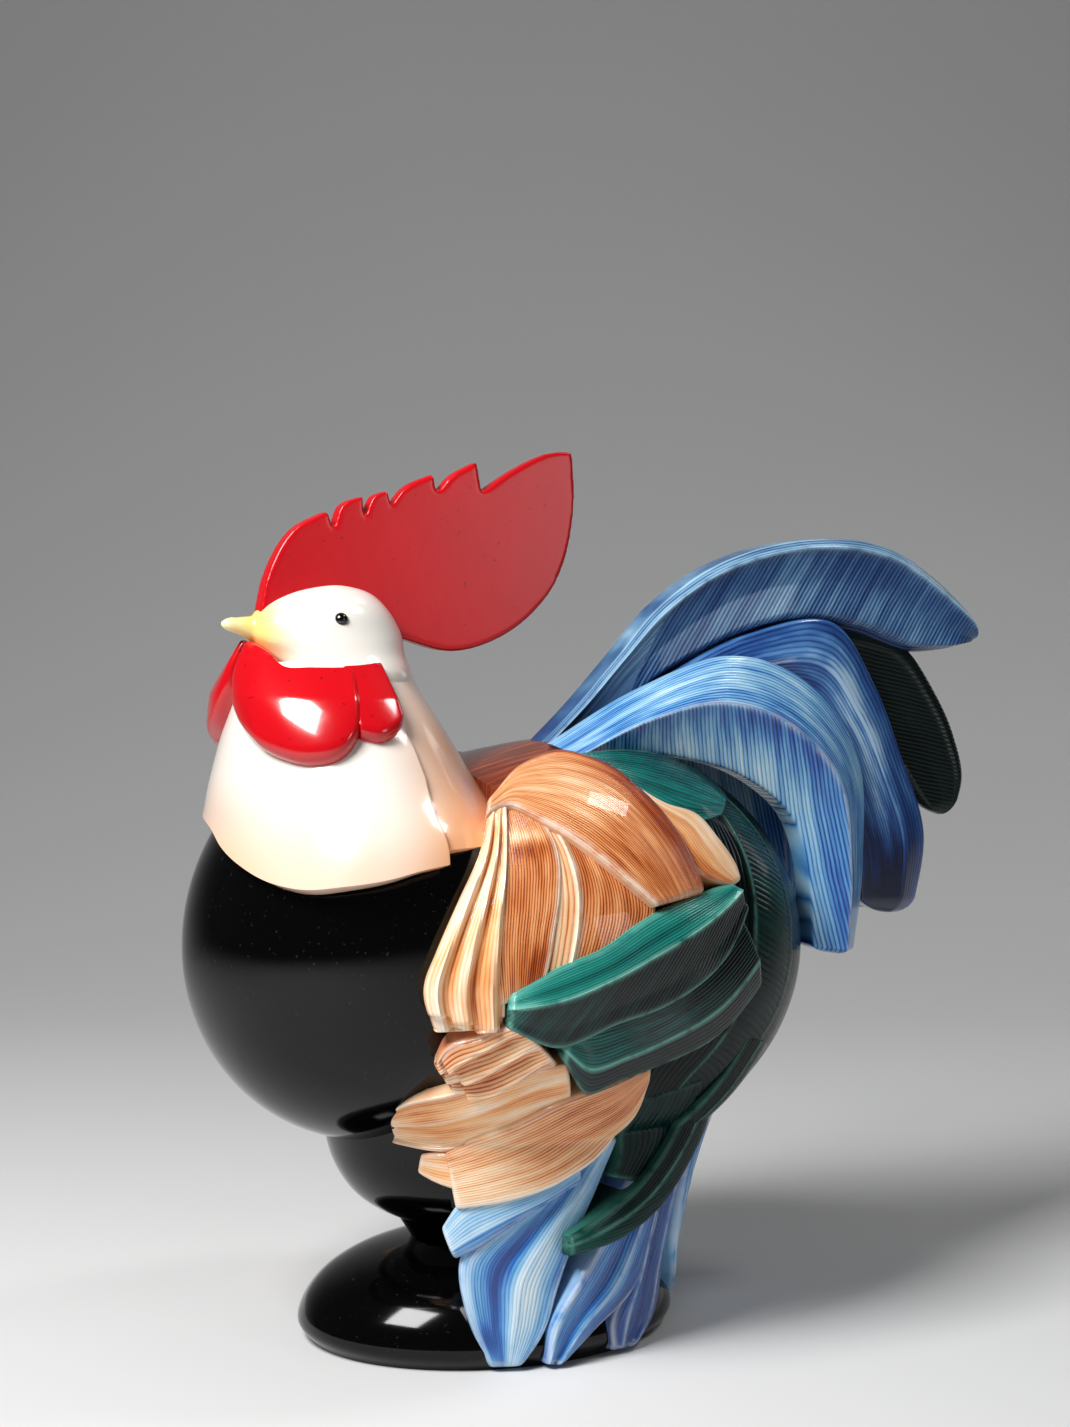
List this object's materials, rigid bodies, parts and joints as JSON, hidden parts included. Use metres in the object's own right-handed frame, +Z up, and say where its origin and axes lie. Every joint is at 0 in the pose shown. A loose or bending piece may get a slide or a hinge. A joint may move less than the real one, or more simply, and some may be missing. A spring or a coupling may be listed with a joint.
{
  "type": "ceramic rooster ornament",
  "caption": "Free-standing glazed ceramic rooster with a tall toothed comb, round black breast, layered orange, green and blue plumage and arched tail sickles on a pebble base.",
  "frame": {"origin": "centre of the flat underside of the base, on the surface it stands on", "axes": "+Z up, -Y the way the rooster faces, +X its left side"},
  "size_m": [0.168, 0.307, 0.3006],
  "materials": {
    "black_glaze": "gloss",
    "white_glaze": "gloss",
    "red_glaze": "gloss",
    "bead_glaze": "gloss",
    "orange_glaze": "gloss",
    "green_glaze": "gloss",
    "blue_glaze": "gloss"
  },
  "bodies": {
    "root": {"back_saddle": "orange_glaze", "base_plinth": "black_glaze", "body_shell": "black_glaze", "comb": "red_glaze", "crest_sickle": "blue_glaze", "dark_sickle": "green_glaze", "earlobe_left": "red_glaze", "earlobe_right": "red_glaze", "eye_beads": "bead_glaze", "front_covert_left": "orange_glaze", "front_covert_right": "orange_glaze", "front_fold_left": "orange_glaze", "front_fold_right": "orange_glaze", "green_block_left": "green_glaze", "green_block_right": "green_glaze", "green_leaf_left": "green_glaze", "green_leaf_right": "green_glaze", "green_sickle_left": "green_glaze", "green_sickle_right": "green_glaze", "hackle_lappet_left": "white_glaze", "hackle_lappet_right": "white_glaze", "head": "white_glaze", "leg_shank": "black_glaze", "lower_secondary_left": "green_glaze", "lower_secondary_right": "green_glaze", "middle_covert_left": "orange_glaze", "middle_covert_right": "orange_glaze", "neck_cape": "white_glaze", "rear_sickle_left": "blue_glaze", "rear_sickle_right": "blue_glaze", "side_sickle_left": "blue_glaze", "side_sickle_right": "blue_glaze", "skirt_back": "blue_glaze", "skirt_flap_left": "blue_glaze", "skirt_flap_right": "blue_glaze", "skirt_front_left": "blue_glaze", "skirt_front_right": "blue_glaze", "skirt_middle_left": "blue_glaze", "skirt_middle_right": "blue_glaze", "skirt_rear_left": "blue_glaze", "skirt_rear_right": "blue_glaze", "tail_covert_left": "green_glaze", "tail_covert_right": "green_glaze", "thigh_cup": "black_glaze", "thigh_plane_left": "orange_glaze", "thigh_plane_right": "orange_glaze", "thigh_sweep_left": "orange_glaze", "thigh_sweep_right": "orange_glaze", "thigh_tip_left": "orange_glaze", "thigh_tip_right": "orange_glaze", "thigh_tuft_left": "orange_glaze", "thigh_tuft_right": "orange_glaze", "upper_secondary_left": "green_glaze", "upper_secondary_right": "green_glaze", "wattle_left": "red_glaze", "wattle_right": "red_glaze", "wing_band_left": "orange_glaze", "wing_band_right": "orange_glaze", "wing_flap_left": "orange_glaze", "wing_flap_right": "orange_glaze"}
  },
  "joints": []
}
